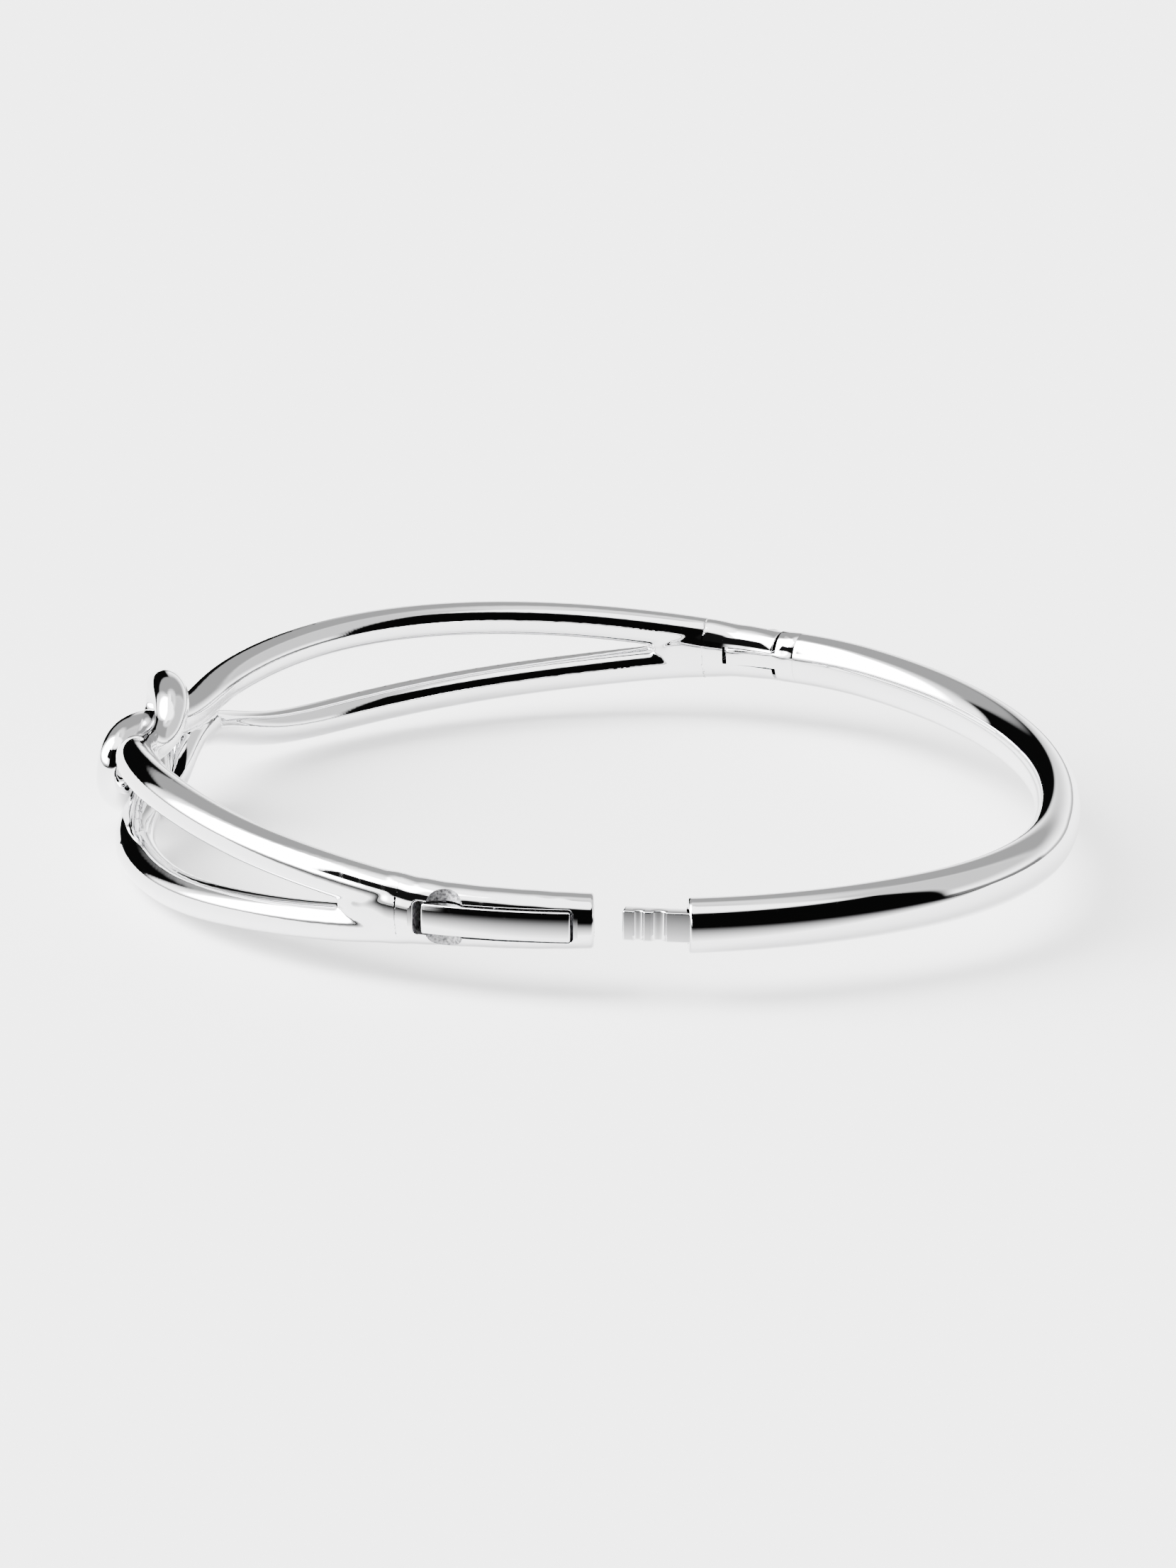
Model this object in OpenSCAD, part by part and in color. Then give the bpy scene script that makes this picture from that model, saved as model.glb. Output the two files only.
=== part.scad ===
// Hinged love-knot bangle: two interlinked open loops in front, a plain band behind,
// a pin hinge on the far side and a box clasp with a push lever on the near side.
// Millimetres. +Z is up, the knot is at -X, the plain back of the band is at +X.

/* [Oval] */
// Radius of the oval across the knot
front_r = 28; // [27:0.5:29]
// Radius of the oval along each side
side_r = 34.5; // [33.5:0.5:35.5]
// Radius of the oval at each back corner
corner_r = 19.5; // [19:0.5:20.5]
// Angle that the knot arc turns on each side of the middle
front_turn = 51; // [50:1:52]
// Angle that each side turns
side_turn = 54; // [53:1:55]
// Angle that each back corner turns
corner_turn = 47; // [46:1:48]

/* [Band] */
// Height of the plain band
band_h = 3.6; // [3.4:0.1:3.8]
// Thickness of the plain band, from the wrist outwards
band_t = 3.0; // [2.8:0.1:3.2]
// Wall of the hollow band
band_wall = 0.6; // [0.5:0.05:0.7]

/* [Hinge] */
// Angle by which the bangle stands open at rest
rest_opening = 5.8; // [5.5:0.1:8]
// Radius of the hinge pin
hinge_pin_r = 0.45; // [0.4:0.05:0.5]
// Height of the knuckle between the two ears
knuckle_h = 1.1; // [1:0.1:1.3]
// Length of the knuckle past the joint
knuckle_len = 3.75; // [3.5:0.05:3.8]

/* [Clasp] */
// Height of the clasp box
box_h = 3.9; // [3.8:0.1:4]
// Thickness of the clasp box
box_t = 3.2; // [3.1:0.1:3.3]
// Length of the tongue
tongue_len = 4.1; // [4:0.1:4.3]
// Height of the tongue and of the lever
tongue_h = 2.0; // [1.8:0.1:2.1]
// Thickness of the tongue
tongue_t = 1.0; // [0.9:0.1:1.1]
// Radius of the thumb scoop
scoop_r = 1.45; // [1.3:0.05:1.5]
// Radius of the lever's pivot pin
lever_pin_r = 0.3; // [0.25:0.05:0.35]

/* [Hidden] */
$fn = 96;

// Middle of the knot arc, so that the origin is the middle of the whole outline
front_centre = [-2.16, 0.92];
origin_z = 0.07;

// Places along the oval, measured as length from the middle of the knot arc:
// negative towards the hinge, positive towards the clasp and on round the back
hinge_s = -66;
fork_s = -60.5;
box_s = 29;
mouth_s = 41.4;
window_s = [30.1, 40.1];
lever_s = [30.65, 39.95];
lever_pivot_s = 35.3;
scoop_s = 32.1;
spring_s = [31.1, 33.9];
plug_len = 3;
shoulder_len = 1.5;

// Clearances
joint_gap = 0.05;
slide_gap = 0.1;
pin_gap = 0.04;
slot_gap = 0.06;
// The band's arcs stop just short of each other inside thin straight sleeves
arc_gap = 0.02;
sleeve_len = 0.2;
sleeve_grow = 0.012;

// Hinge: the pin stands near the outer face so that the joint can open outwards
pin_inset = 0.95;
pin_n = band_t / 2 - pin_inset;
knuckle_end_gap = 0.2;
lip_len = 0.4;

// Clasp: distances outwards (n) from the middle line of the oval
lever_n = 0.65;
lever_pivot_n = 0.75;
lever_boss_r = 0.62;
floor_n = -0.2;
tongue_n = 0.1;
// Grooves of the tongue: [distance from the joint, radius, depth]
grooves = [[1.75, 0.55, 0.35], [3.05, 0.38, 0.25]];
tooth_gap = 0.08;
root_len = 0.5;
spring_t = 0.15;

silver = [0.78, 0.78, 0.8];
bright = [0.86, 0.86, 0.88];

// ---- The oval: seven tangent arcs, from the hinge round to the hinge again ----
function dir(a) = [cos(a), sin(a)];
function arc_len(r, turn) = r * turn * PI / 180;
half_turns = front_turn + side_turn + corner_turn;
back_turn = 180 - half_turns;
side_end = front_turn + side_turn;
back_r = corner_r + ((front_r - side_r) * sin(front_turn)
       + (side_r - corner_r) * sin(side_end)) / sin(half_turns);
s1 = arc_len(front_r, front_turn);
s2 = s1 + arc_len(side_r, side_turn);
s3 = s2 + arc_len(corner_r, corner_turn);
s4 = s3 + arc_len(back_r, back_turn);
// Each arc: [start along the oval, radius, turn]
arcs = [[-s3, corner_r, corner_turn],
        [-s2, side_r, side_turn],
        [-s1, front_r, 2 * front_turn],
        [s1, side_r, side_turn],
        [s2, corner_r, corner_turn],
        [s3, back_r, 2 * back_turn],
        [2 * s4 - s3, corner_r, corner_turn]];
front_arc = 2;
function arc_start(k) = arcs[k][0];
function arc_r(k) = arcs[k][1];
function arc_end(k) = arc_start(k) + arc_len(arc_r(k), arcs[k][2]);
function arc_angle(k) = k == 0 ? 180 - half_turns : arc_angle(k - 1) + arcs[k - 1][2];
function arc_centre(k) = k == front_arc ? front_centre
    : k > front_arc ? arc_centre(k - 1) + (arc_r(k - 1) - arc_r(k)) * dir(arc_angle(k))
    : arc_centre(k + 1) + (arc_r(k + 1) - arc_r(k)) * dir(arc_angle(k + 1));
function arc_at(s) = max([for (k = [0 : len(arcs) - 1]) if (k == 0 || arc_start(k) <= s) k]);
function angle_at(s) = let (k = arc_at(s))
    arc_angle(k) + (s - arc_start(k)) / arc_r(k) * 180 / PI;
// A point at length s along the oval, n outwards and z up
function spot(s, n = 0, z = 0) = let (k = arc_at(s), p = arc_centre(k) + (arc_r(k) + n) * dir(angle_at(s)))
    [p[0], p[1], origin_z + z];

// Puts children at s with +X outwards and +Y along the oval
module at_oval(s, n = 0) {
    translate(spot(s, n)) rotate([0, 0, angle_at(s)]) children();
}

// Sweeps a flat section (x outwards, y up) along the oval from a to b, arc by arc
module sweep_oval(a, b) {
    for (k = [0 : len(arcs) - 1]) {
        from = a > arc_start(k) ? a : arc_start(k) + arc_gap;
        to = b < arc_end(k) ? b : arc_end(k) - arc_gap;
        if (to > from)
            translate([arc_centre(k)[0], arc_centre(k)[1], origin_z])
                rotate([0, 0, arc_angle(k) + (from - arc_start(k)) / arc_r(k) * 180 / PI])
                    rotate_extrude(angle = (to - from) / arc_r(k) * 180 / PI, $fn = 180)
                        translate([arc_r(k), 0]) children();
    }
}

module ellipse(w, h, points = 40) {
    polygon([for (i = [0 : points - 1]) let (a = (i + 0.5) * 360 / points)
        [w / 2 * cos(a), h / 2 * sin(a)]]);
}

module band_section(grow = 0) {
    ellipse(band_t + 2 * grow, band_h + 2 * grow);
}

module bore_section(shrink = 0) {
    ellipse(band_t - 2 * band_wall - 2 * shrink, band_h - 2 * band_wall - 2 * shrink, 24);
}

// ---- Swept round strands: a smooth curve through few chosen points ----
// Strand points: [length along the oval, outwards, up, radius of the strand]
hinge_over = [[-63, 0, 0.6, 1.25], [-58, 0, 1.08, 1.25], [-52, 0, 1.85, 1.2], [-44, 0, 2.55, 1.2],
    [-37, 0, 2.85, 1.2], [-31, 0, 2.7, 1.22], [-26.3, 0, 2.25, 1.28], [-22.4, -0.15, 1.7, 1.28],
    [-18.6, -0.8, 1.3, 1.2], [-15.4, -1, 1.25, 1.1], [-12.2, -0.3, 1.7, 1.14],
    [-9.7, 0.7, 2.1, 1.16], [-7.5, 1.4, 1.6, 1.12], [-6.9, 1.6, -0.2, 1.12],
    [-8.7, 1.75, -1.9, 1.15], [-11.4, 1.6, -3.3, 1.1], [-13.6, 0.6, -4.4, 1.05],
    [-14.6, -0.4, -3.4, 1.08], [-15.4, -0.7, -2, 1.1], [-16.9, -0.5, -1.2, 1.05],
    [-19, -0.4, -0.9, 0.85]];
hinge_under = [[-63, 0, -0.66, 1.22], [-58, 0, -1.13, 1.23], [-52, 0, -1.8, 1.2],
    [-44, 0, -2.4, 1.2], [-37, 0, -2.85, 1.2], [-31.3, 0, -3.1, 1.2], [-27.3, 0, -2.8, 1.2],
    [-23.6, 0, -1.8, 1.25], [-20.4, -0.3, -0.55, 1.28], [-17.2, -0.5, -0.4, 1.15]];
clasp_over = [[31, 0, 0.6, 1.35], [25, 0, 1.4, 1.35], [21, 0, 1.9, 1.35], [17, 0, 2.3, 1.35],
    [13, 0, 2.7, 1.35], [9, 0, 3, 1.35], [5, -0.05, 3.05, 1.35], [1, -0.05, 2.9, 1.35],
    [-2.8, -0.1, 2.5, 1.33], [-5.6, -0.3, 1.9, 1.2], [-7.8, -1.1, 1.5, 1],
    [-9.6, -1.8, 1.95, 1], [-10.9, -1.85, 3.1, 1.1], [-12.4, -1.45, 3.9, 1.12],
    [-14.6, -0.35, 3.85, 1.1], [-16.9, 1.1, 3.2, 0.98], [-17.9, 1.8, 1.8, 0.92],
    [-17, 1.7, 0.3, 0.92], [-14, 0.75, -0.3, 1], [-11.8, -0.4, -0.8, 1.05],
    [-9.6, -0.85, -1.5, 1.1], [-7.2, -0.55, -2.4, 1.22], [-4.5, -0.1, -3.1, 1.33],
    [0, 0.1, -3.3, 1.35]];
clasp_under = [[31, 0, -0.75, 1.25], [25, 0, -1.5, 1.25], [21, 0, -1.9, 1.25],
    [17, 0, -2.3, 1.25], [13, 0, -2.75, 1.28], [9, 0, -3.15, 1.3], [5, 0, -3.35, 1.33],
    [0, 0.1, -3.3, 1.35], [-3, 0, -3.2, 1.33]];
strand_steps = 3;
strand_sides = 14;

function blend(a, b, c, d, t) = (pow(1 - t, 3) * a + (3 * t * t * t - 6 * t * t + 4) * b
    + (-3 * t * t * t + 3 * t * t + 3 * t + 1) * c + t * t * t * d) / 6;
function with_ends(p) = concat([2 * p[0] - p[1]], p, [2 * p[len(p) - 1] - p[len(p) - 2]]);
function smooth(p) = let (q = with_ends(p))
    concat([for (i = [1 : len(q) - 3], j = [0 : strand_steps - 1])
        blend(q[i - 1], q[i], q[i + 1], q[i + 2], j / strand_steps)], [p[len(p) - 1]]);
function unit(v) = v / norm(v);
function across(u, t) = unit(u - t * (u * t));

module strand(points) {
    path = smooth(points);
    last = len(path) - 1;
    mid = [for (p = path) spot(p[0], p[1], p[2])];
    run = [for (i = [0 : last]) unit(mid[min(i + 1, last)] - mid[max(i - 1, 0)])];
    side = [for (i = 0, u = across([0, 0, 1], run[0]); i <= last;
        i = i + 1, u = across(u, run[min(i, last)])) u];
    skin = [for (i = [0 : last], j = [0 : strand_sides - 1])
        let (a = j * 360 / strand_sides, v = cross(run[i], side[i]))
            mid[i] + path[i][3] * (cos(a) * side[i] + sin(a) * v)];
    walls = [for (i = [0 : last - 1], j = [0 : strand_sides - 1])
        let (a = i * strand_sides + j, b = i * strand_sides + (j + 1) % strand_sides)
            each [[a, a + strand_sides, b], [b, a + strand_sides, b + strand_sides]]];
    caps = [[for (j = [0 : strand_sides - 1]) j],
            [for (j = [strand_sides - 1 : -1 : 0]) last * strand_sides + j]];
    polyhedron(points = skin, faces = concat(walls, caps), convexity = 10);
}

module hinge_side_loop() {
    color(silver) difference() {
        union() {
            strand(hinge_over);
            strand(hinge_under);
        }
        at_oval(fork_s) translate([-4, -6, -4]) cube([8, 6, 8]);
    }
}

module clasp_side_loop() {
    color(silver) difference() {
        union() {
            strand(clasp_over);
            strand(clasp_under);
        }
        at_oval(box_s) translate([-4, 0, -4]) cube([8, 6, 8]);
    }
}

// ---- Hinge ----
hinge_pin_s = hinge_s + pin_inset;
pin_spot = spot(hinge_pin_s, pin_n);
pin_h = 1.6 * band_h / 1.8 - 0.1;

module upright(r, h) {
    translate([0, 0, -h / 2]) cylinder(r = r, h = h);
}

module at_hinge_pin() {
    at_oval(hinge_pin_s, pin_n) children();
}

// The outer corner ahead of the pin, less a round of radius r about the pin
module hinge_corner(r, back) {
    at_hinge_pin() difference() {
        translate([0, -pin_inset - back, -band_h]) cube([band_t, pin_inset + back, 2 * band_h]);
        upright(r, 3 * band_h);
    }
}

module hinge_fork() {
    color(silver) difference() {
        sweep_oval(hinge_s, fork_s) band_section();
        sweep_oval(hinge_s - 1, hinge_s + knuckle_len + knuckle_end_gap)
            translate([-band_t, -knuckle_h / 2 - slot_gap]) square([2 * band_t, knuckle_h + 2 * slot_gap]);
        hinge_corner(pin_inset, 1);
        at_hinge_pin() upright(hinge_pin_r + 0.01, 2 * band_h);
    }
}

module hinge_pin() {
    color(bright) at_hinge_pin() upright(hinge_pin_r, pin_h);
}

// Turns a piece of the rear half open about the hinge pin, from shut to rest
module opened() {
    translate(pin_spot) rotate([0, 0, rest_opening]) translate(-pin_spot) children();
}

module tube_section(grow = 0) {
    difference() {
        band_section(grow);
        bore_section(grow);
    }
}

module rear_band() {
    color(silver) opened() {
        sweep_oval(mouth_s + joint_gap, 2 * s4 + hinge_s - shoulder_len) tube_section();
        for (s = [s2, s3, 2 * s4 - s3])
            at_oval(s) rotate([90, 0, 0]) linear_extrude(sleeve_len, center = true)
                tube_section(sleeve_grow);
    }
}

module hinge_knuckle() {
    color(silver) opened() difference() {
        union() {
            sweep_oval(hinge_s - shoulder_len, hinge_s - joint_gap) band_section();
            sweep_oval(hinge_s - shoulder_len - plug_len, hinge_s - 1) bore_section(0.02);
            difference() {
                sweep_oval(hinge_s - shoulder_len, hinge_s + lip_len) intersection() {
                    band_section();
                    translate([pin_n + slide_gap, -band_h]) square([band_t, 2 * band_h]);
                }
                at_hinge_pin() upright(pin_inset + slide_gap, 3 * band_h);
            }
            sweep_oval(hinge_s - shoulder_len, hinge_s + knuckle_len) intersection() {
                band_section();
                translate([-band_t, -knuckle_h / 2]) square([2 * band_t, knuckle_h]);
            }
        }
        at_hinge_pin() upright(hinge_pin_r + pin_gap, 2 * band_h);
    }
}

// ---- Clasp ----
// The tongue is a piece of a ring about the hinge pin, so that it slides in on its own path
mouth_spot = spot(mouth_s, tongue_n);
tongue_arm = mouth_spot - pin_spot;
tongue_r = norm(tongue_arm);
tongue_angle = atan2(tongue_arm[1], tongue_arm[0]);
function along_tongue(d) = tongue_angle - d / tongue_r * 180 / PI;

module ring_piece(from, to, t, h) {
    translate([pin_spot[0], pin_spot[1], origin_z]) rotate([0, 0, along_tongue(to)])
        rotate_extrude(angle = (to - from) / tongue_r * 180 / PI, $fn = 180)
            translate([tongue_r - t / 2, -h / 2]) square([t, h]);
}

// An upright rod across the tongue, d back from the joint and n outwards of its middle
module across_tongue(d, n, r, h) {
    translate(pin_spot) rotate([0, 0, along_tongue(d)]) translate([tongue_r + n, 0, 0]) upright(r, h);
}

module clasp_tongue() {
    color(bright) opened() {
        difference() {
            ring_piece(-0.5, tongue_len, tongue_t, tongue_h);
            for (g = grooves) across_tongue(g[0], tongue_t / 2 + g[1] - g[2], g[1], 2 * tongue_h);
        }
        sweep_oval(mouth_s + joint_gap, mouth_s + plug_len) bore_section(0.02);
    }
}

module clasp_box() {
    inner_h = tongue_h + 2 * slide_gap;
    color(silver) difference() {
        sweep_oval(box_s, mouth_s) ellipse(box_t, box_h);
        sweep_oval(window_s[0], window_s[1])
            translate([floor_n, -inner_h / 2]) square([box_t, inner_h]);
        ring_piece(-1, tongue_len + 2 * slide_gap, tongue_t + 2 * slide_gap, inner_h);
        at_oval(scoop_s, lever_n + scoop_r + 0.05) upright(scoop_r, 2 * box_h);
        at_oval(lever_pivot_s, lever_pivot_n) upright(lever_pin_r + 0.01, pin_h);
    }
}

module lever_pin() {
    color(bright) at_oval(lever_pivot_s, lever_pivot_n) upright(lever_pin_r, pin_h - 0.1);
}

// A tooth of the lever, reaching down into one groove of the tongue
module tooth(g) {
    tip_n = tongue_t / 2 + g[1] - g[2];
    r = g[1] - tooth_gap;
    translate(pin_spot) rotate([0, 0, along_tongue(g[0])]) translate([tongue_r + tip_n, 0, 0]) {
        upright(r, tongue_h);
        translate([0, -r, -tongue_h / 2]) cube([root_len, 2 * r, tongue_h]);
    }
}

module latch_lever() {
    color(bright) difference() {
        union() {
            sweep_oval(lever_s[0], lever_s[1]) intersection() {
                ellipse(box_t, box_h);
                translate([lever_n, -tongue_h / 2]) square([box_t, tongue_h]);
            }
            at_oval(lever_pivot_s, lever_pivot_n) upright(lever_boss_r, tongue_h);
            for (g = grooves) tooth(g);
        }
        at_oval(lever_pivot_s, lever_pivot_n) upright(lever_pin_r + pin_gap, 2 * tongue_h);
    }
}

module lever_spring() {
    h = tongue_h - 4 * slide_gap;
    rise = lever_n - floor_n - 3 * spring_t;
    color(bright) {
        sweep_oval(spring_s[0], spring_s[1]) translate([floor_n, -h / 2]) square([spring_t, h]);
        at_oval(spring_s[1], floor_n) translate([0, 0, -h / 2]) linear_extrude(h)
            polygon([[0, 0], [spring_t, -spring_t], [rise + spring_t, spring_s[0] - spring_s[1]],
                     [rise + 2 * spring_t, spring_s[0] - spring_s[1]], [spring_t * 2, 0]]);
    }
}

hinge_side_loop();
clasp_side_loop();
hinge_fork();
hinge_pin();
rear_band();
hinge_knuckle();
clasp_box();
clasp_tongue();
latch_lever();
lever_pin();
lever_spring();
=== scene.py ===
"""A hinged bangle with two linked loops in front, cast and polished in silver."""

import math

import bpy
from mathutils import Matrix, Vector


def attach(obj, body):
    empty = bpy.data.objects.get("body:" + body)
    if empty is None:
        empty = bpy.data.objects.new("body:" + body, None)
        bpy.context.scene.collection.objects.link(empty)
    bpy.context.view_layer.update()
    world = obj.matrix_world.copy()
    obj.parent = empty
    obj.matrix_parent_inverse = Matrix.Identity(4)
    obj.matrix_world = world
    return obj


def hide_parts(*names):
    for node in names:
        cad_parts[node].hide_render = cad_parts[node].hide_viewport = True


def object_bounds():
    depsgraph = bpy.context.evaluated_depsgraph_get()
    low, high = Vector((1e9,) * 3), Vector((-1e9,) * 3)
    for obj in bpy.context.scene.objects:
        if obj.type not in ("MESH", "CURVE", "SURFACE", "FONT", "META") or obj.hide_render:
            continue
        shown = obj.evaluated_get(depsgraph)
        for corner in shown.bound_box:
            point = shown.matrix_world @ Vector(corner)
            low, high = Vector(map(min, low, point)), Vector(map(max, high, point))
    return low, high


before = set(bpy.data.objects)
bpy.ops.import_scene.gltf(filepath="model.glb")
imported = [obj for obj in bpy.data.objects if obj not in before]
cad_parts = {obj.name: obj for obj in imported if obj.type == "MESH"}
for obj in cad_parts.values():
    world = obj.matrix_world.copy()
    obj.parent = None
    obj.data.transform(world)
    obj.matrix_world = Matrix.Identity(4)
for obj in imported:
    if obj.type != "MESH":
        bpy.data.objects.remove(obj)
cad_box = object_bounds()


# ---- Loop on the hinge side ----
# Two round strands of cast silver leave the hinge one above the other. They pass forward and
# close in a small eye, and the whole loop is cast in one, filed smooth and mirror polished.

MM = 0.001
OVAL_MIDDLE = (-2.16, 0.92, 0.07)
KNOT_ARC = (28.0, 51)
SIDE_ARC = (34.5, 54)
CORNER_ARC = (19.5, 47)


def back_arc():
    """Radius and turn of the arc across the back, tangent to the corner arcs."""
    turned = math.radians(KNOT_ARC[1])
    ahead = (KNOT_ARC[0] - SIDE_ARC[0]) * math.sin(turned)
    turned += math.radians(SIDE_ARC[1])
    ahead += (SIDE_ARC[0] - CORNER_ARC[0]) * math.sin(turned)
    turned += math.radians(CORNER_ARC[1])
    return CORNER_ARC[0] + ahead / math.sin(turned), 180 - math.degrees(turned)


ARCS = [KNOT_ARC, SIDE_ARC, CORNER_ARC, back_arc()]
HALF_GIRTH = sum(radius * math.radians(turn) for radius, turn in ARCS)


def oval(s, n=0.0, z=0.0):
    """The place s millimetres round the oval from the knot, n outwards and z up, in metres."""
    s = (s + HALF_GIRTH) % (2 * HALF_GIRTH) - HALF_GIRTH
    left = abs(s)
    centre = Vector((0, 0))
    turned = 0.0
    for k, (radius, turn) in enumerate(ARCS):
        length = radius * math.radians(turn)
        if left <= length or k == len(ARCS) - 1:
            break
        left -= length
        turned += math.radians(turn)
        away = Vector((-math.cos(turned), -math.sin(turned)))
        centre += (radius - ARCS[k + 1][0]) * away
    angle = turned + left / radius
    spot = centre - (radius + n) * Vector((math.cos(angle), math.sin(angle)))
    side = math.copysign(1, s)
    x, y, up = OVAL_MIDDLE
    return Vector((x + spot.x, y + side * spot.y, up + z)) * MM


def loft(name, rings):
    """A closed skin over rings of equal numbers of points, as a new object."""
    count = len(rings[0])
    points = [p for ring in rings for p in ring]
    faces = [list(range(count)), [len(points) - 1 - k for k in range(count)]]
    for i in range(len(rings) - 1):
        for k in range(count):
            a = i * count + k
            b = i * count + (k + 1) % count
            faces.append([a, b, b + count, a + count])
    mesh = bpy.data.meshes.new(name)
    mesh.from_pydata(points, [], faces)
    piece = bpy.data.objects.new(name, mesh)
    bpy.context.scene.collection.objects.link(piece)
    select_only(piece)
    bpy.ops.object.mode_set(mode="EDIT")
    bpy.ops.mesh.select_all(action="SELECT")
    bpy.ops.mesh.normals_make_consistent(inside=False)
    bpy.ops.object.mode_set(mode="OBJECT")
    return piece


def select_only(*pieces):
    bpy.ops.object.select_all(action="DESELECT")
    for piece in pieces:
        piece.select_set(True)
    bpy.context.view_layer.objects.active = pieces[0]


def apply_modifier(piece, kind, **settings):
    select_only(piece)
    modifier = piece.modifiers.new(kind.lower(), kind)
    for key, value in settings.items():
        setattr(modifier, key, value)
    bpy.ops.object.modifier_apply(modifier=modifier.name)


def join(*pieces):
    select_only(*pieces)
    bpy.ops.object.join()
    return pieces[0]


def smooth_run(points, steps=14):
    """A cubic B-spline through the first and last of a few four-number points."""
    points = [Vector(p) for p in points]
    line = [2 * points[0] - points[1], *points, 2 * points[-1] - points[-2]]
    run = []
    for a, b, c, d in zip(line, line[1:], line[2:], line[3:]):
        for j in range(steps):
            t = j / steps
            at_b = 3 * t**3 - 6 * t * t + 4
            at_c = -3 * t**3 + 3 * t * t + 3 * t + 1
            run.append(((1 - t) ** 3 * a + at_b * b + at_c * c + t**3 * d) / 6)
    run.append(points[-1])
    return run


def strand(name, points, sides=40):
    """A round strand through points of (length round the oval, outwards, up, radius)."""
    run = smooth_run(points)
    line = [oval(p[0], p[1], p[2]) for p in run]
    aside = Vector((0, 0, 1))
    rings = []
    for i, (p, centre) in enumerate(zip(run, line)):
        ahead = (line[min(i + 1, len(line) - 1)] - line[max(i - 1, 0)]).normalized()
        aside = (aside - ahead * aside.dot(ahead)).normalized()
        across = ahead.cross(aside)
        ring = []
        for k in range(sides):
            angle = 2 * math.pi * k / sides
            ring.append(centre + p[3] * MM * (math.cos(angle) * aside + math.sin(angle) * across))
        rings.append(ring)
    return loft(name, rings)


def blended(value, steps):
    """A value that runs smoothly through steps of (place, value), held at both ends."""
    if value <= steps[0][0]:
        return steps[0][1]
    for (a, at_a), (b, at_b) in zip(steps, steps[1:]):
        if value <= b:
            t = (value - a) / (b - a)
            return at_a + (at_b - at_a) * t * t * (3 - 2 * t)
    return steps[-1][1]


def rounded_places(start, end, edges, step):
    """Places from start to end as (place, inset), its ends rounded by the two edge radii."""
    near, far = edges
    length = end - start - near - far
    count = max(2, round(length / step))
    angles = [math.radians(15 * k) for k in range(6)]
    rounds = [(1 - math.cos(a), 1 - math.sin(a)) for a in angles]
    places = [(start + near * along, near * inset) for along, inset in rounds if near]
    places += [(start + near + length * k / count, 0) for k in range(count + 1)]
    return places + [(end - far * along, far * inset) for along, inset in reversed(rounds) if far]


def tube(name, start, end, half_t, half_h, edges=(0, 0), step=0.3, sides=64):
    """An oval tube round the oval from start to end, half_t and half_h given at each place."""
    rings = []
    for s, inset in rounded_places(start, end, edges, step):
        t, h = half_t(s) - inset, half_h(s) - inset
        angles = [2 * math.pi * k / sides for k in range(sides)]
        rings.append([oval(s, t * math.cos(a), h * math.sin(a)) for a in angles])
    return loft(name, rings)


FORK_S = -60.5
HINGE_HALF_H = [(-66, 1.74), (-63, 1.87), (-60.5, 2.1), (-58.6, 2.3), (-57.6, 1.8), (-56.8, 0.8)]
HINGE_HALF_T = [(-66, 1.5), (-61, 1.5), (-58, 1.3), (-56.8, 0.9)]

HINGE_OVER = [(-62, 0, 0.8, 1.2), (-58, 0, 1.13, 1.23), (-52, 0, 1.85, 1.2), (-44, 0, 2.55, 1.2),
              (-37, 0, 2.85, 1.2), (-31, 0, 2.7, 1.22), (-26.3, 0, 2.25, 1.28),
              (-22.4, -0.15, 1.7, 1.28), (-18.6, -0.8, 1.3, 1.2), (-15.4, -1, 1.25, 1.1),
              (-12.2, -0.3, 1.7, 1.1), (-9.7, 0.7, 2.1, 1.16), (-7.5, 1.4, 1.6, 1.12),
              (-6.9, 1.6, -0.2, 1.12), (-8.7, 1.75, -1.9, 1.15), (-11.4, 1.6, -3.3, 1.1),
              (-13.6, 0.6, -4.4, 1.05), (-14.6, -0.4, -3.4, 1.08), (-15.4, -0.7, -1.9, 1.15),
              (-17.4, -0.5, -0.6, 1.25), (-20.2, -0.3, -0.1, 1.3)]
HINGE_UNDER = [(-62, 0, -0.8, 1.2), (-58, 0, -1.08, 1.25), (-52, 0, -1.8, 1.2),
               (-44, 0, -2.4, 1.2), (-37, 0, -2.85, 1.2), (-31.3, 0, -3.1, 1.2),
               (-27.3, 0, -2.8, 1.2), (-23.6, 0, -1.8, 1.25), (-20.2, -0.3, -0.8, 1.25),
               (-17.6, -0.5, -0.7, 1.2)]


def cast_in_one(piece, grain, softness):
    """Fuses overlapping skins into one and files their meeting lines to soft fillets."""
    apply_modifier(piece, "REMESH", mode="VOXEL", voxel_size=grain * MM)
    apply_modifier(piece, "SMOOTH", factor=0.5, iterations=softness)
    select_only(piece)
    bpy.ops.object.shade_smooth()


def saw_off(piece, s, keep_ahead):
    """Saws a piece square across the oval at s, keeps one side and closes the cut."""
    ahead = (oval(s + 0.01) - oval(s - 0.01)).normalized()
    select_only(piece)
    bpy.ops.object.mode_set(mode="EDIT")
    bpy.ops.mesh.select_all(action="DESELECT")
    bpy.ops.object.mode_set(mode="OBJECT")
    middle = oval(s)
    for face in piece.data.polygons:
        if (face.center - middle).length < 5 * MM:
            face.select = True
    bpy.ops.object.mode_set(mode="EDIT")
    bpy.ops.mesh.bisect(plane_co=middle, plane_no=ahead, use_fill=True,
                        clear_inner=keep_ahead, clear_outer=not keep_ahead)
    bpy.ops.object.mode_set(mode="OBJECT")


def hinge_half_h(s):
    return blended(s, HINGE_HALF_H)


def hinge_half_t(s):
    return blended(s, HINGE_HALF_T)


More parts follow.
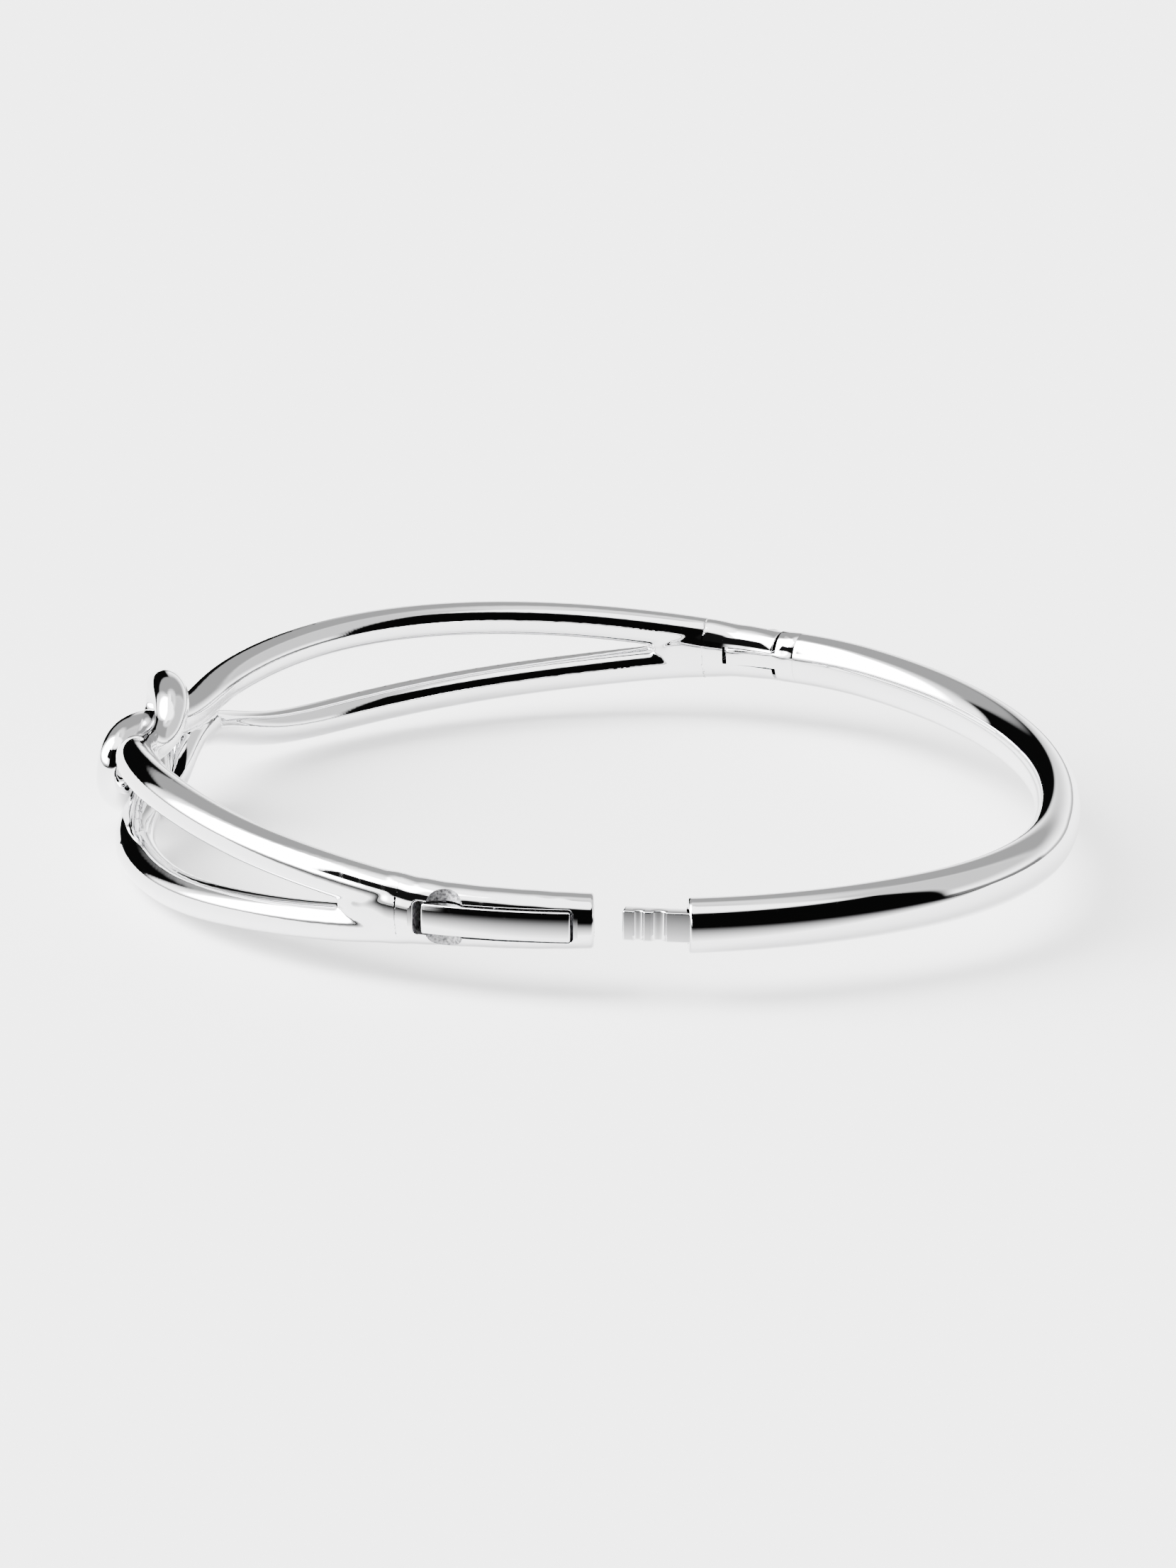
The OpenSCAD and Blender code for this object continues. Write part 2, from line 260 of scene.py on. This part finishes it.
hinge_loop = join(strand("hinge_loop", HINGE_OVER), strand("under", HINGE_UNDER),
                  tube("stem", -64, -56.8, hinge_half_t, hinge_half_h))
cast_in_one(hinge_loop, 0.11, 14)
saw_off(hinge_loop, FORK_S, True)
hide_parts("hinge_side_loop")
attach(hinge_loop, "front_half")


def node_tree(material):
    material.use_nodes = True
    tree = material.node_tree
    return tree, tree.nodes["Principled BSDF"]


def polish_group():
    """Hand polish: faint waves, hair scratches and dulled patches, as roughness and height."""
    group = bpy.data.node_groups.new("hand_polish", "ShaderNodeTree")
    for name, value in (("Wave", 260.0), ("Hair", 2400.0), ("Dullest", 0.09)):
        socket = group.interface.new_socket(name, in_out="INPUT", socket_type="NodeSocketFloat")
        socket.default_value = value
    for name in ("Roughness", "Height"):
        group.interface.new_socket(name, in_out="OUTPUT", socket_type="NodeSocketFloat")
    nodes, links = group.nodes, group.links
    given = nodes.new("NodeGroupInput")
    result = nodes.new("NodeGroupOutput")
    place = nodes.new("ShaderNodeTexCoord")
    waves = nodes.new("ShaderNodeTexNoise")
    waves.inputs["Detail"].default_value = 1.0
    links.new(place.outputs["Object"], waves.inputs["Vector"])
    links.new(given.outputs["Wave"], waves.inputs["Scale"])
    stretch = nodes.new("ShaderNodeMapping")
    stretch.inputs["Scale"].default_value = (1.0, 0.06, 0.35)
    stretch.inputs["Rotation"].default_value = (0.2, 0.3, 0.5)
    links.new(place.outputs["Object"], stretch.inputs["Vector"])
    hairs = nodes.new("ShaderNodeTexNoise")
    hairs.inputs["Detail"].default_value = 2.0
    links.new(stretch.outputs["Vector"], hairs.inputs["Vector"])
    links.new(given.outputs["Hair"], hairs.inputs["Scale"])
    few = nodes.new("ShaderNodeMapRange")
    few.inputs["From Min"].default_value = 0.62
    few.inputs["From Max"].default_value = 0.72
    links.new(hairs.outputs["Fac"], few.inputs["Value"])
    dull = nodes.new("ShaderNodeMapRange")
    dull.inputs["From Min"].default_value = 0.4
    dull.inputs["From Max"].default_value = 0.8
    dull.inputs["To Min"].default_value = 0.02
    links.new(waves.outputs["Fac"], dull.inputs["Value"])
    links.new(given.outputs["Dullest"], dull.inputs["To Max"])
    scratched = nodes.new("ShaderNodeMath")
    scratched.operation = "MULTIPLY_ADD"
    scratched.inputs[1].default_value = 0.05
    links.new(few.outputs["Result"], scratched.inputs[0])
    links.new(dull.outputs["Result"], scratched.inputs[2])
    links.new(scratched.outputs["Value"], result.inputs["Roughness"])
    relief = nodes.new("ShaderNodeMath")
    relief.operation = "MULTIPLY_ADD"
    relief.inputs[1].default_value = -0.06
    links.new(few.outputs["Result"], relief.inputs[0])
    links.new(waves.outputs["Fac"], relief.inputs[2])
    links.new(relief.outputs["Value"], result.inputs["Height"])
    return group


def polished(name, color, dullest, relief):
    """A polished metal, bright silver or pin wire, with its own share of wear."""
    material = bpy.data.materials.new(name)
    tree, surface = node_tree(material)
    surface.inputs["Base Color"].default_value = (*color, 1)
    surface.inputs["Metallic"].default_value = 1.0
    wear = tree.nodes.new("ShaderNodeGroup")
    wear.node_tree = hand_polish
    wear.inputs["Dullest"].default_value = dullest
    tree.links.new(wear.outputs["Roughness"], surface.inputs["Roughness"])
    bump = tree.nodes.new("ShaderNodeBump")
    bump.inputs["Strength"].default_value = relief
    bump.inputs["Distance"].default_value = 0.02 * MM
    tree.links.new(wear.outputs["Height"], bump.inputs["Height"])
    tree.links.new(bump.outputs["Normal"], surface.inputs["Normal"])
    return material


def finish_with(piece, *materials):
    piece.data.materials.clear()
    for material in materials:
        piece.data.materials.append(material)


hand_polish = polish_group()
silver = polished("polished_silver", (0.82, 0.82, 0.83), 0.05, 0.2)
finish_with(hinge_loop, silver)


# ---- Loop on the clasp side ----
# The same casting on the other side. Its upper strand dives through the eye, rises in a dome
# over the other loop and comes back underneath, so the two are linked like chain links.

BOX_S = 29.0
CLASP_HALF_H = [(24.6, 0.5), (25.6, 1.4), (26.6, 2.3), (28.1, 2.42), (30.1, 2.2), (32, 2.08),
                (34.7, 2.0), (37.4, 1.94), (39.2, 1.87), (41.4, 1.8)]
CLASP_HALF_T = [(24.6, 0.8), (26, 1.25), (28.5, 1.55), (30, 1.6), (41.4, 1.56)]

CLASP_OVER = [(31, 0, 0.6, 1.35), (25, 0, 1.4, 1.35), (21, 0, 1.9, 1.35), (17, 0, 2.3, 1.35),
              (13, 0, 2.7, 1.35), (9, 0, 3, 1.35), (5, -0.05, 3.05, 1.35), (1, -0.05, 2.9, 1.35),
              (-2.8, -0.1, 2.5, 1.33), (-5.6, -0.3, 1.9, 1.2), (-7.8, -1.1, 1.5, 1),
              (-9.6, -1.8, 1.95, 1), (-10.9, -1.8, 3.0, 1.15), (-12.4, -1.35, 3.72, 1.28),
              (-14.6, -0.3, 3.66, 1.28), (-16.8, 1.05, 3.05, 1.1), (-17.9, 1.8, 1.8, 0.92),
              (-17, 1.7, 0.3, 0.92), (-14, 0.75, -0.3, 1), (-11.8, -0.4, -0.8, 1.05),
              (-9.6, -0.85, -1.5, 1.1), (-7.2, -0.55, -2.4, 1.22), (-4.5, -0.1, -3.1, 1.33),
              (0, 0.1, -3.3, 1.35)]
CLASP_UNDER = [(31, 0, -0.75, 1.25), (25, 0, -1.5, 1.25), (21, 0, -1.9, 1.25),
               (17, 0, -2.3, 1.25), (13, 0, -2.75, 1.28), (9, 0, -3.15, 1.3),
               (5, 0, -3.35, 1.33), (0, 0.1, -3.3, 1.35), (-3, 0, -3.2, 1.33)]



def clasp_half_h(s):
    return blended(s, CLASP_HALF_H)


def clasp_half_t(s):
    return blended(s, CLASP_HALF_T)


clasp_loop = join(strand("clasp_loop", CLASP_OVER), strand("under", CLASP_UNDER),
                  tube("stem", 24.6, 32, clasp_half_t, clasp_half_h))
cast_in_one(clasp_loop, 0.11, 14)
saw_off(clasp_loop, BOX_S, False)
finish_with(clasp_loop, silver)
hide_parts("clasp_side_loop")
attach(clasp_loop, "front_half")


# ---- Rear band ----
# A hollow tube of oval section, drawn from silver sheet and bent round a former, with its
# two ends sawn square and their rims lightly rounded.

MOUTH_S = 41.4
HINGE_S = -66.0
SHOULDER = 1.5
REST_OPENING = math.radians(5.8)
EAR_R = 0.95
PIN_S = HINGE_S + EAR_R
PIN_N = 0.55
PIN = oval(PIN_S, PIN_N)
BAND_HALF_T, BAND_HALF_H = 1.5, 1.8
BORE_HALF_T, BORE_HALF_H = 0.9, 1.2


def swing_open(piece):
    """Turns a piece of the rear half about the hinge pin, from shut to where it stands."""
    turn = Matrix.Translation(PIN) @ Matrix.Rotation(REST_OPENING, 4, "Z")
    piece.data.transform(turn @ Matrix.Translation(-PIN))


def smooth_faces(piece, degrees=32):
    select_only(piece)
    bpy.ops.object.shade_smooth_by_angle(angle=math.radians(degrees))


def cut_away(piece, *cutters):
    for cutter in cutters:
        apply_modifier(piece, "BOOLEAN", operation="DIFFERENCE", object=cutter, solver="EXACT")
        bpy.data.objects.remove(cutter)


BACK_S = 2 * HALF_GIRTH + HINGE_S - SHOULDER
band = tube("band", MOUTH_S + 0.05, BACK_S, lambda s: BAND_HALF_T, lambda s: BAND_HALF_H,
            edges=(0.2, 0.03))
cut_away(band, tube("bore", MOUTH_S - 1, BACK_S + 1, lambda s: BORE_HALF_T,
                    lambda s: BORE_HALF_H))
swing_open(band)
smooth_faces(band)
finish_with(band, silver)
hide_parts("rear_band")
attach(band, "rear_half")


# ---- Hinge fork, knuckle and pin ----
# Blocks machined from silver bar: two ears with a slot, and the flat plate that turns in it
# on an upright wire pin. Their edges are broken with a fine file before polishing.


def machined(name, node, body):
    """A copy of a CAD node with its edges filed and its curved faces smooth."""
    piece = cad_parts[node].copy()
    piece.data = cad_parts[node].data.copy()
    piece.name = name
    piece.parent = None
    bpy.context.scene.collection.objects.link(piece)
    select_only(piece)
    bpy.ops.object.mode_set(mode="EDIT")
    bpy.ops.mesh.select_all(action="SELECT")
    bpy.ops.mesh.remove_doubles(threshold=0.001 * MM)
    bpy.ops.mesh.dissolve_limited(angle_limit=math.radians(0.5))
    bpy.ops.object.mode_set(mode="OBJECT")
    apply_modifier(piece, "BEVEL", width=0.04 * MM, segments=2, limit_method="ANGLE",
                   angle_limit=math.radians(40))
    smooth_faces(piece)
    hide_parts(node)
    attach(piece, body)
    return piece


def prism(name, outline, half_h):
    """An upright block over an outline of (length round the oval, outwards)."""
    return loft(name, [[oval(at, n, z) for at, n in outline] for z in (-half_h, half_h)])


def upright_rod(place, radius, height):
    """A round rod standing upright about a place."""
    bpy.ops.object.select_all(action="DESELECT")
    bpy.ops.mesh.primitive_cylinder_add(vertices=96, radius=radius * MM, depth=height * MM,
                                        location=place)
    rod = bpy.context.object
    bpy.ops.object.transform_apply(location=True, rotation=True, scale=True)
    return rod


PIN_BORE_R = 0.46
SLOT_HALF_H = 0.61
SLOT_END = -62.05

fork = tube("fork", HINGE_S, FORK_S, hinge_half_t, hinge_half_h, edges=(0.05, 0), step=0.1,
            sides=128)
slot_outline = [(HINGE_S - 1 + (SLOT_END - HINGE_S + 1) * k / 20, -3) for k in range(21)]
slot_outline += [(at, 3) for at, n in reversed(slot_outline)]
ear_round = [math.radians(6 * k) for k in range(16)]
corner = [(PIN_S - EAR_R * math.cos(a), PIN_N + EAR_R * math.sin(a)) for a in ear_round]
corner += [(PIN_S, 4), (PIN_S - 3, 4), (PIN_S - 3, PIN_N)]
cut_away(fork, prism("slot", slot_outline, SLOT_HALF_H), prism("corner", corner, 4),
         upright_rod(PIN, PIN_BORE_R, 8))
smooth_faces(fork)
finish_with(fork, silver)
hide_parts("hinge_fork")
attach(fork, "front_half")

hinge_knuckle = machined("knuckle", "hinge_knuckle", "rear_half")
finish_with(hinge_knuckle, silver)
wire = polished("pin_wire", (0.78, 0.78, 0.8), 0.16, 0.4)
for node in ("hinge_pin", "lever_pin", "lever_spring"):
    for k in range(len(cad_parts[node].material_slots)):
        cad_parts[node].material_slots[k].material = wire


# ---- Clasp box ----
# A cast block with a mouth for the tongue, a window for the lever and a thumb scoop milled
# upright behind it. Outside it is polished, inside it keeps its grainy cast skin.

WINDOW = (30.1, 40.1)
WINDOW_HALF_H = 1.1
FLOOR_N = -0.2
SCOOP_S = 32.1
SCOOP_R = 1.45
SCOOP_N = 2.12
PIVOT_S = 35.3
PIVOT_N = 0.75
PIVOT_PIN_R = 0.3
TONGUE_N = 0.1
TONGUE_LEN = 4.1
TONGUE_ROOT = oval(MOUTH_S, TONGUE_N) - PIN


def skin_n(s, z):
    """How far out the box's outer skin lies at height z."""
    return clasp_half_t(s) * math.sqrt(max(0.0, 1 - (z / clasp_half_h(s)) ** 2))


def window_outline(grow, corner=0.32):
    """Round-cornered outline of the window as (length round the oval, height)."""
    low, high = WINDOW[0] - grow, WINDOW[1] + grow
    half = WINDOW_HALF_H + grow
    corner += grow
    points = []
    right, left, top = high - corner, low + corner, half - corner
    for at_s, at_z, first in ((right, top, 0), (left, top, 90), (left, -top, 180), (right, -top, 270)):
        for k in range(6):
            angle = math.radians(first + 18 * k)
            points.append((at_s + corner * math.cos(angle), at_z + corner * math.sin(angle)))
    dense = []
    for (a, za), (b, zb) in zip(points, points[1:] + points[:1]):
        parts = max(1, round(abs(b - a) / 0.17))
        for k in range(parts):
            dense.append((a + (b - a) * k / parts, za + (zb - za) * k / parts))
    return dense


def window_cutter():
    """The window's inside, grainy below a bright rim that flares to a rounded edge."""
    rings = [[oval(s, FLOOR_N, z) for s, z in window_outline(0)]]
    for grow, rise in ((0, -0.09), (0.012, -0.045), (0.04, -0.012), (0.09, 0.0), (0.3, 0.05)):
        ring = [oval(s, skin_n(s, z) + rise, z) for s, z in window_outline(grow)]
        rings.append(ring)
    rings.append([oval(s, 2.4, z) for s, z in window_outline(0.3)])
    return grainy(loft("window", rings), len(rings[0]))


def ring_place(d, n, z):
    """A place in the tongue's frame: d back from the joint, n outwards of its middle, z up."""
    turned = Matrix.Rotation(-d * MM / TONGUE_ROOT.length, 3, "Z") @ TONGUE_ROOT
    spot = turned + turned.normalized() * n * MM
    return PIN + Vector((spot.x, spot.y, z * MM))


def rounded_slab(inner, outer, half_h, corner=0.12):
    """Round-cornered outline as (outwards, up), from the inner face to the outer face."""
    points = []
    right, left, top = outer - corner, inner + corner, half_h - corner
    for at_n, at_z, first in ((right, top, 0), (left, top, 90), (left, -top, 180), (right, -top, 270)):
        for k in range(6):
            angle = math.radians(first + 18 * k)
            points.append((at_n + corner * math.cos(angle), at_z + corner * math.sin(angle)))
    return points


def mouth_cutter():
    """The mouth: a grainy curved slot about the hinge pin, its bright rim flared."""
    rings = []
    for d, grow in ((TONGUE_LEN + 0.2, 0), (0.15, 0), (0.07, 0.02), (0.0, 0.09), (-1.2, 0.5)):
        slab = rounded_slab(-0.6 - grow, 0.6 + grow, 1.1 + grow, 0.15 + grow)
        rings.append([ring_place(d, n, z) for n, z in slab])
    return grainy(loft("mouth", rings), len(rings[0]))


def cast_skin_material():
    """Silver as it leaves the mould: a fine dark grain with shallow pits."""
    material = bpy.data.materials.new("cast_skin")
    tree, surface = node_tree(material)
    surface.inputs["Metallic"].default_value = 1.0
    place = tree.nodes.new("ShaderNodeTexCoord")
    grain = tree.nodes.new("ShaderNodeTexNoise")
    grain.inputs["Scale"].default_value = 5200.0
    grain.inputs["Detail"].default_value = 3.0
    tree.links.new(place.outputs["Object"], grain.inputs["Vector"])
    tint = tree.nodes.new("ShaderNodeValToRGB")
    tint.color_ramp.elements[0].position = 0.35
    tint.color_ramp.elements[0].color = (0.1, 0.1, 0.105, 1)
    tint.color_ramp.elements[1].position = 0.7
    tint.color_ramp.elements[1].color = (0.5, 0.5, 0.51, 1)
    tree.links.new(grain.outputs["Fac"], tint.inputs["Fac"])
    tree.links.new(tint.outputs["Color"], surface.inputs["Base Color"])
    rough = tree.nodes.new("ShaderNodeMapRange")
    rough.inputs["To Min"].default_value = 0.3
    rough.inputs["To Max"].default_value = 0.6
    tree.links.new(grain.outputs["Fac"], rough.inputs["Value"])
    tree.links.new(rough.outputs["Result"], surface.inputs["Roughness"])
    bump = tree.nodes.new("ShaderNodeBump")
    bump.inputs["Strength"].default_value = 0.7
    bump.inputs["Distance"].default_value = 0.03 * MM
    tree.links.new(grain.outputs["Fac"], bump.inputs["Height"])
    tree.links.new(bump.outputs["Normal"], surface.inputs["Normal"])
    return material


cast_skin = cast_skin_material()


def grainy(cutter, walls=0):
    """Marks a cutter so that its first cap and wall faces leave cast skin, the rest silver."""
    finish_with(cutter, silver, cast_skin)
    for k, face in enumerate(cutter.data.polygons):
        if walls == 0 or k == 0 or 2 <= k < walls + 2:
            face.material_index = 1
    return cutter


box = tube("box", BOX_S, MOUTH_S, clasp_half_t, clasp_half_h, edges=(0, 0.22), step=0.1,
           sides=160)
finish_with(box, silver, cast_skin)
cut_away(box, grainy(upright_rod(oval(SCOOP_S, SCOOP_N), SCOOP_R, 8)), window_cutter(),
         mouth_cutter(), upright_rod(oval(PIVOT_S, PIVOT_N), PIVOT_PIN_R + 0.01, 3))
smooth_faces(box)
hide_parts("clasp_box")
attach(box, "front_half")


# ---- Clasp tongue ----
# A flat silver tongue soldered in the band's other end. It is curved about the hinge pin, and
# two round grooves are filed across its outer face for the lever's teeth.

GROOVES = ((1.75, 0.55, 0.35), (3.05, 0.38, 0.25))


def groove_depth(d):
    deepest = 0.0
    for at, radius, depth in GROOVES:
        if abs(d - at) < radius:
            deepest = max(deepest, math.sqrt(radius**2 - (d - at) ** 2) - radius + depth)
    return deepest


rings = []
for k in range(116):
    d = -0.5 + (TONGUE_LEN + 0.5) * k / 115
    rounding = 0.16 - min(0.16, TONGUE_LEN - d)
    inset = 0.16 - math.sqrt(0.16**2 - rounding**2)
    slab = rounded_slab(-0.5 + inset, 0.5 - inset - groove_depth(d), 1.0 - inset, 0.1)
    rings.append([ring_place(d, n, z) for n, z in slab])
tongue = loft("tongue", rings)
plug = tube("plug", MOUTH_S + 0.3, MOUTH_S + 3, lambda s: 0.89, lambda s: 1.19)
tongue = join(tongue, plug)
swing_open(tongue)
smooth_faces(tongue, 40)
finish_with(tongue, silver)
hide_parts("clasp_tongue")
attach(tongue, "rear_half")


# ---- Latch lever ----
# A half-round silver bar in the window, pivoted on an upright wire. Its tail lies in the scoop
# and two teeth under its nose hold the tongue; a strip spring lifts the tail.

LEVER = (30.65, 39.95)
LEVER_HALF_H = 1.0
LEVER_N = 0.65
LEVER_CROWN = 1.6
LEVER_EDGE = 0.14
TOOTH_GAP = 0.08
BOSS_R = 0.62


def lever_section(inset):
    """Half-round outline of the lever as (outwards, up), with rounded shoulders."""
    half = LEVER_HALF_H - inset
    corner = 0.16
    points = []
    for k in range(25):
        z = (half - corner) * (1 - 2 * k / 24)
        points.append((LEVER_CROWN - inset - 0.14 * z * z, z))
    shoulder_n, shoulder_z = points[-1]
    turn_down = []
    for k in range(1, 7):
        angle = math.radians(15 * k)
        turn_down.append((shoulder_n - corner * (1 - math.cos(angle)),
                          shoulder_z - corner * math.sin(angle)))
    foot = LEVER_N + inset
    lower = turn_down + [(foot + 0.05, -half), (foot, -half + 0.05)]
    return points + lower + [(n, -z) for n, z in reversed(lower)]


rings = []
for at, inset in rounded_places(LEVER[0], LEVER[1], (LEVER_EDGE, LEVER_EDGE), 0.15):
    rings.append([oval(at, n, z) for n, z in lever_section(inset)])
lever = loft("lever", rings)
rods = [(oval(PIVOT_S, PIVOT_N), BOSS_R)]
rods += [(ring_place(d, 0.5 + r - depth, 0), r - TOOTH_GAP) for d, r, depth in GROOVES]
for place, radius in rods:
    rod = upright_rod(place, radius, 2 * LEVER_HALF_H - 0.1)
    apply_modifier(lever, "BOOLEAN", operation="UNION", object=rod, solver="EXACT")
    bpy.data.objects.remove(rod)
cut_away(lever, upright_rod(oval(PIVOT_S, PIVOT_N), PIVOT_PIN_R + 0.04, 3))
smooth_faces(lever, 40)
finish_with(lever, silver)
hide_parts("latch_lever")
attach(lever, "lever")


# ---- Floor, light and camera ----
# A white table under a soft white tent with dark gaps, seen from the clasp side.

bpy.ops.object.select_all(action="DESELECT")
bpy.ops.mesh.primitive_plane_add(size=4, location=(0, 0, cad_box[0][2] - 0.00002))
floor = bpy.context.object
floor.name = "floor"
# The floor is white to the camera, and its material also carries a painted dark reflection for the
# metal, built below
paper = bpy.data.materials.new("white_paper_and_painted_reflection")
tree, surface = node_tree(paper)
surface.inputs["Roughness"].default_value = 0.9
surface.inputs["Specular IOR Level"].default_value = 0.0
floor.data.materials.append(paper)

STAND = Vector((-103.41, -538.60, 179.27)) * MM
TARGET = Vector((-0.78, -3.55, 0.07)) * MM
heading = TARGET - STAND

# Painted reflection: only glossy rays see the floor fade to black in front of the bangle, so the
# polished metal shows a dark reflection as if the table ended there
REFLECTION_DARK_FROM = -29.0
REFLECTION_DARK_FADE = 5.0
nodes, links = tree.nodes, tree.links


def math_node(kind, *values):
    """A Math node of the tree in hand, fed by numbers or by other nodes' outputs."""
    node = nodes.new("ShaderNodeMath")
    node.operation = kind
    for socket, value in zip(node.inputs, values):
        if isinstance(value, (int, float)):
            socket.default_value = value
        else:
            links.new(value, socket)
    return node.outputs["Value"]


spot = nodes.new("ShaderNodeTexCoord")
ahead = nodes.new("ShaderNodeVectorMath")
ahead.operation = "DOT_PRODUCT"
ahead.inputs[1].default_value = (*heading.xy.normalized(), 0)
links.new(spot.outputs["Object"], ahead.inputs[0])
past = math_node("SUBTRACT", REFLECTION_DARK_FROM * MM, ahead.outputs["Value"])
past = math_node("MAXIMUM", math_node("DIVIDE", past, REFLECTION_DARK_FADE * MM), 1)
painted_reflection_dark = math_node("SUBTRACT", 1, math_node("POWER", past, -1.5))
# Painted reflection: glossy rays see the floor's colour go black past the line, camera rays still see
# it white
ray = nodes.new("ShaderNodeLightPath")
reflection_darkening = nodes.new("ShaderNodeMix")
reflection_darkening.data_type = "RGBA"
reflection_darkening.inputs["A"].default_value = (0.92, 0.92, 0.92, 1)
reflection_darkening.inputs["B"].default_value = (0.0, 0.0, 0.0, 1)
links.new(math_node("MULTIPLY", painted_reflection_dark, ray.outputs["Is Glossy Ray"]), reflection_darkening.inputs["Factor"])
links.new(reflection_darkening.outputs["Result"], surface.inputs["Base Color"])

# Each card of the tent as (from, to, bottom, top, softness, light): angles in degrees, turned
# rightwards from the view's heading, with heights above the table
TENT_LIGHT = 5.0
CARDS = (
    (-60, 64, 14, 72, 26, 0.55),
    (56, 114, 14, 72, 20, 1.3),
    (-10, 114, 70, 100, 26, 1.7),
    (-200, 200, -3, 5, 5, 0.9),
    (60, 112, -3, 7, 6, 0.3),
    (-132, -66, 8, 70, 8, 26.0),
    (-52, -3, -12, 26, 6, 0.005),
    (109, 216, -9, 54, 8, 0.004),
    (206, 240, 21, 49, 5, 0.01),
)

world = bpy.data.worlds.new("tent")
bpy.context.scene.world = world
world.use_nodes = True
world.node_tree.nodes["Background"].inputs["Color"].default_value = (1, 1, 1, 1)
nodes, links = world.node_tree.nodes, world.node_tree.links


def step_up(value, at, softness):
    """Goes smoothly from 0 to 1 as a value passes a place."""
    node = nodes.new("ShaderNodeMapRange")
    node.interpolation_type = "SMOOTHSTEP"
    node.inputs["From Min"].default_value = at - softness / 2
    node.inputs["From Max"].default_value = at + softness / 2
    links.new(value, node.inputs["Value"])
    return node.outputs["Result"]


sky = nodes.new("ShaderNodeTexCoord")
turned = nodes.new("ShaderNodeVectorRotate")
turned.rotation_type = "Z_AXIS"
turned.inputs["Angle"].default_value = math.atan2(heading.x, heading.y)
links.new(sky.outputs["Generated"], turned.inputs["Vector"])
parts = nodes.new("ShaderNodeSeparateXYZ")
links.new(turned.outputs["Vector"], parts.inputs["Vector"])
bearing = math_node("ARCTAN2", parts.outputs["X"], parts.outputs["Y"])
bearing = math_node("MULTIPLY", bearing, math.degrees(1))
height = math_node("MULTIPLY", math_node("ARCSINE", parts.outputs["Z"]), math.degrees(1))
behind = math_node("WRAP", bearing, 360, 0)
light = math_node("ADD", TENT_LIGHT, 0)
for start, end, bottom, top, softness, card_light in CARDS:
    across = behind if start > 100 else bearing
    card = math_node("MULTIPLY", step_up(across, start, softness),
                     math_node("SUBTRACT", 1, step_up(across, end, softness)))
    card = math_node("MULTIPLY", card, step_up(height, bottom, softness))
    card = math_node("MULTIPLY", card, math_node("SUBTRACT", 1, step_up(height, top, softness)))
    change = math_node("SUBTRACT", card_light, light)
    light = math_node("MULTIPLY_ADD", change, card, light)
links.new(light, nodes["Background"].inputs["Strength"])

camera_data = bpy.data.cameras.new("camera")
camera = bpy.data.objects.new("camera", camera_data)
bpy.context.scene.collection.objects.link(camera)
camera.location = STAND
camera.rotation_euler = (TARGET - STAND).to_track_quat("-Z", "Y").to_euler()
camera_data.sensor_fit = "VERTICAL"
camera_data.sensor_height = 36.0
camera_data.lens = 199.15
camera_data.shift_y = 0.0098
camera_data.clip_start = 0.05
camera_data.dof.use_dof = False
bpy.context.scene.camera = camera
